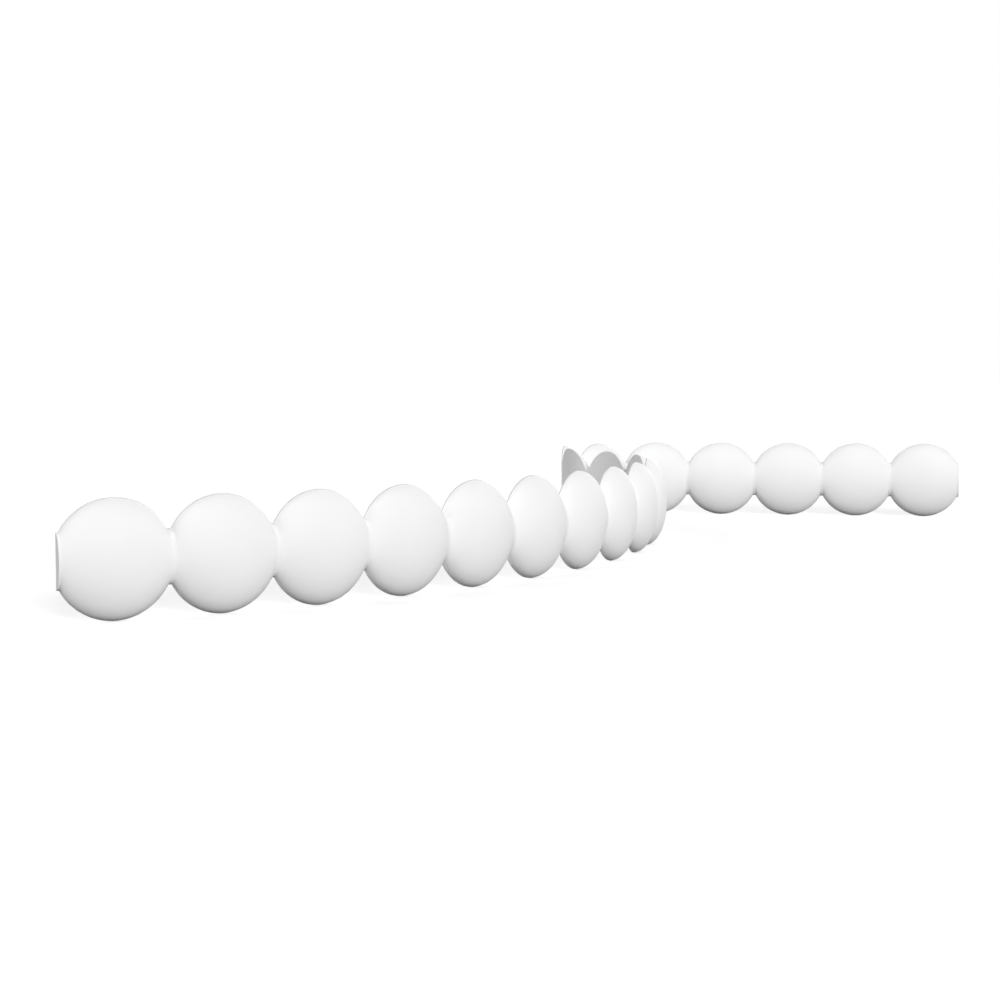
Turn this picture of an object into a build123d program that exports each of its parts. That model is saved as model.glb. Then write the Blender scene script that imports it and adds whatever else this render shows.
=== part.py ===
from build123d import *
import os
from math import atan2, copysign, cos, degrees, sin, sqrt

# White bead moulding for a wall: round domed beads on a slim spine, moulded in one piece and
# bent in plan round a curved wall. +X follows the straight far run, +Y points into the wall
# and +Z is up. It stands on the rims of its beads, with the origin at its bottom centre.

# Beads
bead_diameter = 108.0
bead_pitch = 100.0  # along the wall face
bead_crown = 26.0  # top of the dome above the wall
dome_radius = 108.0
shoulder_radius = 12.0  # soft turn from the dome to the upright rim
shoulder_bands = 2  # conical bands that make up that turn
neck_length = 5.0  # bare spine between two beads

# Spine that links the beads, bevelled from a flat middle to its two edges
spine_height = 50.0
spine_crown = 14.5
spine_edge = 5.0
spine_flat = 12.0

# Runs from the near end: beads in each, and the radius of the wall face behind them
near_bend_beads = 9
near_bend_radius = 1000.0
crest_bend_beads = 3
crest_bend_radius = 350.0
back_bend_beads = 4
back_bend_radius = 170.0
far_run_beads = 4

# Spare material outside a cut, so that no two faces of a cutting solid and a bead coincide
cutting_margin = 2.0

# A bulging wall has a positive radius, a hollow one a negative radius and a flat one none
straight = None
runs = [
    (near_bend_beads, near_bend_radius),
    (crest_bend_beads, crest_bend_radius),
    (back_bend_beads, -back_bend_radius),
    (far_run_beads, straight),
]


def along_wall(distance, wall_radius):
    """Place on the wall face, a distance along the run: x follows the run, y goes into the wall."""
    if wall_radius is straight:
        return Location((distance, 0, 0))
    centre = Location((0, wall_radius, 0))
    turn = Location((0, 0, 0), (0, 0, degrees(distance / wall_radius)))
    return centre * turn * centre.inverse()


def section_plane(distance, wall_radius):
    """Plane across the run that looks back along it: x is the height above the wall, y is up."""
    wall = Plane(along_wall(distance, wall_radius))
    return Plane(wall.origin, x_dir=-wall.y_dir, z_dir=-wall.x_dir)


def follow_wall(length, wall_radius):
    """Carry the pending section back along the run."""
    if wall_radius is straight:
        return extrude(amount=length, mode=Mode.PRIVATE)
    bend_axis = Axis((0, wall_radius, 0), (0, 0, -copysign(1, wall_radius)))
    return revolve(axis=bend_axis, revolution_arc=degrees(length / abs(wall_radius)), mode=Mode.PRIVATE)


def cap_radius(half_width, rise):
    """Radius of an arc that rises by this much over this half width."""
    return (half_width**2 + rise**2) / (2 * rise)


def cap_drop(radius, distance):
    """How far such an arc has fallen at a distance from its top."""
    return radius - sqrt(radius**2 - distance**2)


def shoulder_points():
    """Corners of the shoulder's bands, from the rim to the dome: distance from the bead's middle, height."""
    round_centre = bead_diameter / 2 - shoulder_radius
    rise = sqrt((dome_radius - shoulder_radius) ** 2 - round_centre**2)
    round_height = bead_crown - dome_radius + rise
    turn = atan2(rise, round_centre)
    angles = [turn * band / shoulder_bands for band in range(shoulder_bands + 1)]
    return [(round_centre + shoulder_radius * cos(a), round_height + shoulder_radius * sin(a)) for a in angles]


def bead_cell(wall_radius):
    """One bead with its length of spine, on a wall of this radius."""
    bead_radius = bead_diameter / 2
    bead_length = bead_pitch - neck_length
    side_height = bead_crown - cap_drop(dome_radius, bead_length / 2)
    side = along_wall(bead_length / 2, wall_radius) * Location((0, -side_height, 0))
    level_radius = cap_radius(side.position.X, bead_crown + side.position.Y)
    dome_axis = Axis((0, dome_radius - bead_crown, 0), (-1, 0, 0))
    dome_half = bead_radius + cutting_margin
    dome_side = dome_radius - cap_drop(level_radius, dome_half)

    with BuildPart() as cell:
        # Dome: an arc along the run, turned about a level axis behind the wall
        with BuildSketch(Plane(dome_axis.position, x_dir=(1, 0, 0), z_dir=(0, 1, 0))):
            with BuildLine():
                Polyline((dome_half, dome_side), (dome_half, 0), (-dome_half, 0), (-dome_half, dome_side))
                ThreePointArc((-dome_half, dome_side), (0, dome_radius), (dome_half, dome_side))
            make_face()
        revolve(axis=dome_axis, revolution_arc=180)

        # Round outline: upright rim and the shoulder's bands, the last one carried on past the dome
        bands = [Vector(across, -height) for across, height in shoulder_points()]
        last_band = bands[-2] - bands[-1]
        past_crown = bands[-1].Y + bead_crown + cutting_margin
        past_dome = bands[-1] - last_band * (past_crown / last_band.Y)
        with BuildSketch(Plane.XY):
            with BuildLine():
                Polyline(
                    (0, past_dome.Y),
                    past_dome,
                    *reversed(bands[:-1]),
                    (bead_radius, dome_radius),
                    (0, dome_radius),
                    close=True,
                )
            make_face()
        revolve(axis=Axis.Y, mode=Mode.INTERSECT)

        # Back seated on the wall face, sides cut square at the two necks
        with BuildSketch(section_plane(bead_length / 2, wall_radius)):
            Rectangle(
                bead_crown + cutting_margin,
                bead_diameter + 2 * cutting_margin,
                align=(Align.MIN, Align.CENTER),
            )
        add(follow_wall(bead_length, wall_radius), mode=Mode.INTERSECT)

        # Spine through the bead, from the middle of one neck to the middle of the next
        with BuildSketch(section_plane(bead_pitch / 2, wall_radius)):
            with BuildLine():
                Polyline(
                    (0, spine_height / 2),
                    (spine_edge, spine_height / 2),
                    (spine_crown, spine_flat / 2),
                    (spine_crown, -spine_flat / 2),
                    (spine_edge, -spine_height / 2),
                    (0, -spine_height / 2),
                    close=True,
                )
            make_face()
        add(follow_wall(bead_pitch, wall_radius))
    return cell.part


# Beads of each run, set out so that the far run ends up along +X
turns = [degrees(beads * bead_pitch / radius) for beads, radius in runs if radius is not straight]
place = Location((0, 0, 0), (0, 0, -sum(turns)))
cells = []
for bead_count, radius in runs:
    cell = bead_cell(radius)
    half_step = along_wall(bead_pitch / 2, radius)
    for bead in range(bead_count):
        place = place * half_step
        cells.append(cell.moved(place))
        place = place * half_step

with BuildPart() as bent_length:
    add(cells)

# Stand the length on its rims, centred on the origin
box = bent_length.part.bounding_box()
with BuildPart() as moulding:
    with Locations((-box.center().X, -box.center().Y, -box.min.Z)):
        add(bent_length.part)

os.makedirs("parts", exist_ok=True)
moulding.part.label = "bead_moulding"
export_step(moulding.part, "parts/bead_moulding.step")
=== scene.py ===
import bpy
import math
import numpy as np
from mathutils import Matrix, Vector


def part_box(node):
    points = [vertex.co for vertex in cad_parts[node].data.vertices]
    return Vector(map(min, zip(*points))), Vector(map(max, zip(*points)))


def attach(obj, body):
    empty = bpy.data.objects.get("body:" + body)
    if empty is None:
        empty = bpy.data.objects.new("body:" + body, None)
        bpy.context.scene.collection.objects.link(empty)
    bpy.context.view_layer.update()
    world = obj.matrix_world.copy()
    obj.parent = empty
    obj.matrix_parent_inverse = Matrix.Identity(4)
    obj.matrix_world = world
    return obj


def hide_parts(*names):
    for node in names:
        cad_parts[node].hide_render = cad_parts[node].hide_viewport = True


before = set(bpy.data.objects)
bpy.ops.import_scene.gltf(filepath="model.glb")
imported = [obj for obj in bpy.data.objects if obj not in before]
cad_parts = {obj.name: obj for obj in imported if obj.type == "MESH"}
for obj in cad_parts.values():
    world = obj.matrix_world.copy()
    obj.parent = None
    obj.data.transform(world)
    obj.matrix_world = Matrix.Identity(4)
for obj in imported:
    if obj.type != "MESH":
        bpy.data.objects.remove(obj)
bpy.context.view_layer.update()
print("frame loaded:", sorted(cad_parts))

# The moulding: one length of domed beads on a slim spine, in metres
moulding = {
    "beadDiameter": 0.108,
    "beadPitch": 0.100,
    "beadCrown": 0.026,  # top of the dome above the back
    "domeRadius": 0.108,  # of the dome along the run; across it is oval
    "neckLength": 0.005,
    "spineHeight": 0.050,
    "spineCrown": 0.0149,
    "partingHeight": 0.001,  # flash that the mould leaves along the back, finished in a grey painted contact shade
    "partingWidth": 0.0005,
    "creaseWidth": 0.0003,  # soft corner between a bead and its neck
    # each run from the near end: + bulges, - hollows, none is straight
    "runs": [(9, 1.0), (3, 0.35), (4, -0.17), (4, None)],  # beads and radius of the back
    "stepsAlong": 48,  # mesh steps along one bead
    "rowsAcross": 44,
    "rowsBack": 8,
    "sharpAngle": 38,  # degrees, edges that stay crisp
    "hair": 1e-9,  # slack where one run hands over to the next
}


def carryAlong(place, distance, radius):
    x, y, heading = place
    if radius is None:
        steady = heading + 0 * distance  # as many headings as distances
        return x + distance * np.cos(heading), y + distance * np.sin(heading), steady
    turned = heading + distance / radius
    return (
        x + radius * (np.sin(turned) - np.sin(heading)),
        y - radius * (np.cos(turned) - np.cos(heading)),
        turned,
    )


def followBack(m, distances):
    # x, y and heading along the back, with the far end in the corner of the CAD box
    place = (0.0, 0.0, -sum(beads * m["beadPitch"] / radius for beads, radius in m["runs"] if radius))
    path = np.zeros((3, len(distances)))
    start = 0.0
    for beads, radius in m["runs"]:
        length = beads * m["beadPitch"]
        here = distances >= start - m["hair"]
        path[:, here] = carryAlong(place, distances[here] - start, radius)
        place = carryAlong(place, length, radius)
        start += length
    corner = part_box("bead_moulding")[1]
    path[0] += corner.x - place[0]
    path[1] += corner.y - place[1]
    return path


def ovalHeight(m, crown, share):
    # height of an oval arch on the parting strip, at a share of its half width
    return m["partingHeight"] + (crown - m["partingHeight"]) * np.sqrt(np.clip(1 - share**2, 0, 1))


def sectionRing(m, alongBead, isNeck):
    # closed outline across the run: height off the back, and height above the bead's middle
    sweep = np.sin(np.linspace(-math.pi / 2, math.pi / 2, m["rowsAcross"] + 1))
    if isNeck:
        half = m["spineHeight"] / 2
        front = ovalHeight(m, m["spineCrown"], sweep)
    else:
        half = math.sqrt((m["beadDiameter"] / 2) ** 2 - alongBead**2)
        crown = m["beadCrown"] - m["domeRadius"] + math.sqrt(m["domeRadius"] ** 2 - alongBead**2)
        front = ovalHeight(m, crown, sweep)
    back = np.linspace(half, -half, m["rowsBack"] + 1)[1:-1]
    flash = m["partingHeight"]
    off = np.concatenate([[0, flash], front, [flash, 0], 0 * back])
    up = np.concatenate([[-half, -half], (half - m["partingWidth"]) * sweep, [half, half], back])
    return off, up


def mouldingStations(m):
    # (distance along the run, place along its own bead, whether it is on a neck)
    beadHalf = (m["beadPitch"] - m["neckLength"]) / 2
    neckSide = beadHalf + m["creaseWidth"]
    beadCount = sum(beads for beads, radius in m["runs"])
    stations = []
    for bead in range(beadCount):
        centre = (bead + 0.5) * m["beadPitch"]
        stations.append((bead * m["beadPitch"], 0, True))
        stations.append((centre - neckSide, 0, True))
        for along in np.linspace(-beadHalf, beadHalf, m["stepsAlong"] + 1):
            stations.append((centre + along, along, False))
        stations.append((centre + neckSide, 0, True))
    stations.append((beadCount * m["beadPitch"], 0, True))
    return stations


def buildMoulding(m, finishes):
    primed, shadeLineFinish, sanded, sawn = range(len(finishes))
    stations = mouldingStations(m)
    path = followBack(m, np.array([s[0] for s in stations]))
    middle = m["beadDiameter"] / 2
    rings = []
    for (x, y, heading), (_, along, isNeck) in zip(path.T, stations):
        off, up = sectionRing(m, along, isNeck)
        ring = [x + off * math.sin(heading), y - off * math.cos(heading), middle + up]
        rings.append(np.stack(ring, axis=1))
    around = len(rings[0])
    corners = np.concatenate(rings)

    faces = []
    finishOf = []
    frontEnd = 2 + m["rowsAcross"]
    flashShadeRows = (0, 1, frontEnd, frontEnd + 1)
    for ring in range(len(rings) - 1):
        for row in range(around):
            a = ring * around + row
            b = ring * around + (row + 1) % around
            faces.append((a, a + around, b + around, b))
            # the flash rows get the grey painted shade, a contact shadow line along the back edge
            if row in flashShadeRows:
                finishOf.append(shadeLineFinish)
            elif row < frontEnd:
                finishOf.append(primed)
            else:
                finishOf.append(sanded)
    lastRing = (len(rings) - 1) * around
    faces.append(tuple(range(around)))
    faces.append(tuple(lastRing + row for row in reversed(range(around))))
    finishOf += [sawn, sawn]

    mesh = bpy.data.meshes.new("beadMouldingMesh")
    mesh.from_pydata(corners.tolist(), [], faces)
    for finish in finishes:
        mesh.materials.append(finish)
    mesh.polygons.foreach_set("material_index", finishOf)
    mesh.polygons.foreach_set("use_smooth", [True] * len(faces))
    mesh.set_sharp_from_angle(angle=math.radians(m["sharpAngle"]))
    mesh.validate()
    piece = bpy.data.objects.new("beadMoulding", mesh)
    bpy.context.scene.collection.objects.link(piece)
    print("moulding built:", len(faces), "faces")
    return piece


# Sprayed primer on the face
primer = {
    "tone": 0.93,
    "toneSpread": 0.012,
    "roughness": 0.62,
    "roughSpread": 0.06,
    "sheen": 0.25,  # specular level
    "cloudSize": 9,  # noise scales per metre: slow change of tone
    "patchSize": 60,  # change of gloss
    "peelSize": 700,  # fine peel of the spray
    "peelDetail": 2,
    "peelStrength": 0.05,
    "peelDepth": 0.0004,
}


def newFinish(name):
    material = bpy.data.materials.new(name)
    material.use_nodes = True
    nodes = material.node_tree.nodes
    shader = nodes["Principled BSDF"]
    place = nodes.new("ShaderNodeTexCoord")
    return material, nodes, material.node_tree.links, shader, place


def addNoise(nodes, links, place, scale, detail=3.0):
    noise = nodes.new("ShaderNodeTexNoise")
    noise.inputs["Scale"].default_value = scale
    noise.inputs["Detail"].default_value = detail
    links.new(place.outputs["Object"], noise.inputs["Vector"])
    return noise


def spread(nodes, links, source, low, high):
    # most of a noise lies between these two values
    noiseLow, noiseHigh = 0.3, 0.7
    span = nodes.new("ShaderNodeMapRange")
    span.inputs["From Min"].default_value = noiseLow
    span.inputs["From Max"].default_value = noiseHigh
    span.inputs["To Min"].default_value = low
    span.inputs["To Max"].default_value = high
    links.new(source, span.inputs["Value"])
    return span.outputs["Result"]


def addBump(nodes, links, shader, source, strength, distance):
    bump = nodes.new("ShaderNodeBump")
    bump.inputs["Strength"].default_value = strength
    bump.inputs["Distance"].default_value = distance
    links.new(source, bump.inputs["Height"])
    links.new(bump.outputs["Normal"], shader.inputs["Normal"])


def whitePrimer(p):
    material, nodes, links, shader, place = newFinish("whitePrimer")
    cloud = addNoise(nodes, links, place, p["cloudSize"])
    tone, toneSpread = p["tone"], p["toneSpread"]
    grey = spread(nodes, links, cloud.outputs["Fac"], tone - toneSpread, tone + toneSpread)
    links.new(grey, shader.inputs["Base Color"])
    patch = addNoise(nodes, links, place, p["patchSize"])
    rough, roughSpread = p["roughness"], p["roughSpread"]
    matt = spread(nodes, links, patch.outputs["Fac"], rough - roughSpread, rough + roughSpread)
    links.new(matt, shader.inputs["Roughness"])
    shader.inputs["Specular IOR Level"].default_value = p["sheen"]
    peel = addNoise(nodes, links, place, p["peelSize"], p["peelDetail"])
    addBump(nodes, links, shader, peel.outputs["Fac"], p["peelStrength"], p["peelDepth"])
    return material


# Grained finishes, bare foam where no primer lies and a grey painted contact shade on the flash: tone,
# roughness, grain per metre and strength of the grain
foamAndShadeFinishes = {
    # painted shade: this grey stands in for the contact shadow along the back edge of the outline
    "paintedContactShade": (0.57, 0.80, 900, 0.20),
    "sandedBack": (0.92, 0.85, 450, 0.35),
    "sawnEnd": (0.92, 0.85, 800, 0.40),
    "toneBelow": 0.05,  # how far the grain darkens and lightens the tone
    "toneAbove": 0.03,
    "grainDepth": 0.0005,
}


def grainedFinish(f, name):
    tone, roughness, grain, strength = f[name]
    material, nodes, links, shader, place = newFinish(name)
    noise = addNoise(nodes, links, place, grain)
    grey = spread(nodes, links, noise.outputs["Fac"], tone - f["toneBelow"], tone + f["toneAbove"])
    links.new(grey, shader.inputs["Base Color"])
    shader.inputs["Roughness"].default_value = roughness
    addBump(nodes, links, shader, noise.outputs["Fac"], strength, f["grainDepth"])
    return material


finishes = [whitePrimer(primer)]
finishes += [grainedFinish(foamAndShadeFinishes, name) for name in ("paintedContactShade", "sandedBack", "sawnEnd")]
print("finishes made:", [finish.name for finish in finishes])

piece = buildMoulding(moulding, finishes)
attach(piece, "root")
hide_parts("bead_moulding")

# Floor and surroundings
studio = {
    "floorReach": 30.0,  # metres from the middle to each side
    "floorDrop": 0.0002,  # below the rims, so that the two surfaces never coincide
    "floorTone": 0.60,  # as the camera sees it
    "floorBounce": 0.15,  # as it throws light back up
    "floorLift": 0.60,  # added for the camera, so that the floor reads white and keeps its shadow
    "fill": 0.04,  # world light on the object
    # strength, degrees to the right of the camera, elevation and softness of each lamp
    "lamps": [
        (2.41, 20, 20, 20),
        (1.34, -75, 25, 40),
        (0.95, 110, 5, 60),
        (0.65, 70, 5, 50),
        (0.32, 180, 55, 35),
        (1.70, 175, 10, 60),
    ],
}


def seenRay(nodes, links):
    path = nodes.new("ShaderNodeLightPath")
    glossy = nodes.new("ShaderNodeMath")
    glossy.operation = "MAXIMUM"
    links.new(path.outputs["Is Camera Ray"], glossy.inputs[0])
    links.new(path.outputs["Is Glossy Ray"], glossy.inputs[1])
    either = nodes.new("ShaderNodeMath")
    either.operation = "MAXIMUM"
    links.new(glossy.outputs[0], either.inputs[0])
    links.new(path.outputs["Is Transmission Ray"], either.inputs[1])
    return either.outputs[0]


def buildFloor(s):
    mesh = bpy.data.meshes.new("floorMesh")
    reach = s["floorReach"]
    level = -s["floorDrop"]
    corners = [(-reach, -reach, level), (reach, -reach, level), (reach, reach, level), (-reach, reach, level)]
    mesh.from_pydata(corners, [], [(0, 1, 2, 3)])
    material = bpy.data.materials.new("paleFloor")
    material.use_nodes = True
    nodes = material.node_tree.nodes
    links = material.node_tree.links
    shader = nodes["Principled BSDF"]
    seen = seenRay(nodes, links)
    tone = nodes.new("ShaderNodeMapRange")
    tone.inputs["To Min"].default_value = s["floorBounce"]
    tone.inputs["To Max"].default_value = s["floorTone"]
    links.new(seen, tone.inputs["Value"])
    links.new(tone.outputs["Result"], shader.inputs["Base Color"])
    shader.inputs["Roughness"].default_value = 1.0
    shader.inputs["Specular IOR Level"].default_value = 0.0
    shader.inputs["Emission Color"].default_value = (1, 1, 1, 1)
    lift = nodes.new("ShaderNodeMath")
    lift.operation = "MULTIPLY"
    links.new(seen, lift.inputs[0])
    lift.inputs[1].default_value = s["floorLift"]
    links.new(lift.outputs[0], shader.inputs["Emission Strength"])
    mesh.materials.append(material)
    floor = bpy.data.objects.new("floor", mesh)
    bpy.context.scene.collection.objects.link(floor)


def buildWorld(s):
    world = bpy.data.worlds.new("studio")
    bpy.context.scene.world = world
    world.use_nodes = True
    nodes = world.node_tree.nodes
    links = world.node_tree.links
    level = nodes.new("ShaderNodeMapRange")
    level.inputs["To Min"].default_value = s["fill"]
    level.inputs["To Max"].default_value = 1.0
    links.new(seenRay(nodes, links), level.inputs["Value"])
    background = nodes["Background"]
    background.inputs["Color"].default_value = (1, 1, 1, 1)
    links.new(level.outputs["Result"], background.inputs["Strength"])


def towards(heading, elevation):
    level = math.cos(math.radians(elevation))
    return Vector((
        level * math.cos(math.radians(heading)),
        level * math.sin(math.radians(heading)),
        math.sin(math.radians(elevation)),
    ))


def buildLamps(s, cameraHeading):
    for number, (strength, aside, elevation, softness) in enumerate(s["lamps"]):
        lamp = bpy.data.lights.new(f"lamp{number}", "SUN")
        lamp.energy = strength
        lamp.angle = math.radians(softness)
        holder = bpy.data.objects.new(f"lamp{number}", lamp)
        aim = -towards(cameraHeading + 180 + aside, elevation)
        holder.rotation_euler = aim.to_track_quat("-Z", "Y").to_euler()
        bpy.context.scene.collection.objects.link(holder)


# Camera, set out from the back of the moulding at its near end
shot = {
    "lens": 65.995,
    "sensor": 36.0,
    "fromNearEnd": (0.63276, -1.47748),
    "aboveMiddle": 0.16206,
    "heading": 99.4914,  # degrees from +X
    "pitch": -4.0136,
    "roll": -0.0722,
}


def buildCamera(c, m):
    nearEnd = followBack(m, np.array([0.0]))[:, 0]
    data = bpy.data.cameras.new("camera")
    data.lens = c["lens"]
    data.sensor_width = c["sensor"]
    camera = bpy.data.objects.new("camera", data)
    place = Vector((
        nearEnd[0] + c["fromNearEnd"][0],
        nearEnd[1] + c["fromNearEnd"][1],
        m["beadDiameter"] / 2 + c["aboveMiddle"],
    ))
    turn = towards(c["heading"], c["pitch"]).to_track_quat("-Z", "Y").to_matrix().to_4x4()
    roll = Matrix.Rotation(math.radians(c["roll"]), 4, "Z")
    camera.matrix_world = Matrix.Translation(place) @ turn @ roll
    bpy.context.scene.collection.objects.link(camera)
    bpy.context.scene.camera = camera


buildFloor(studio)
buildWorld(studio)
buildLamps(studio, shot["heading"])
buildCamera(shot, moulding)
bpy.context.scene.view_settings.view_transform = "Standard"
print("studio ready")
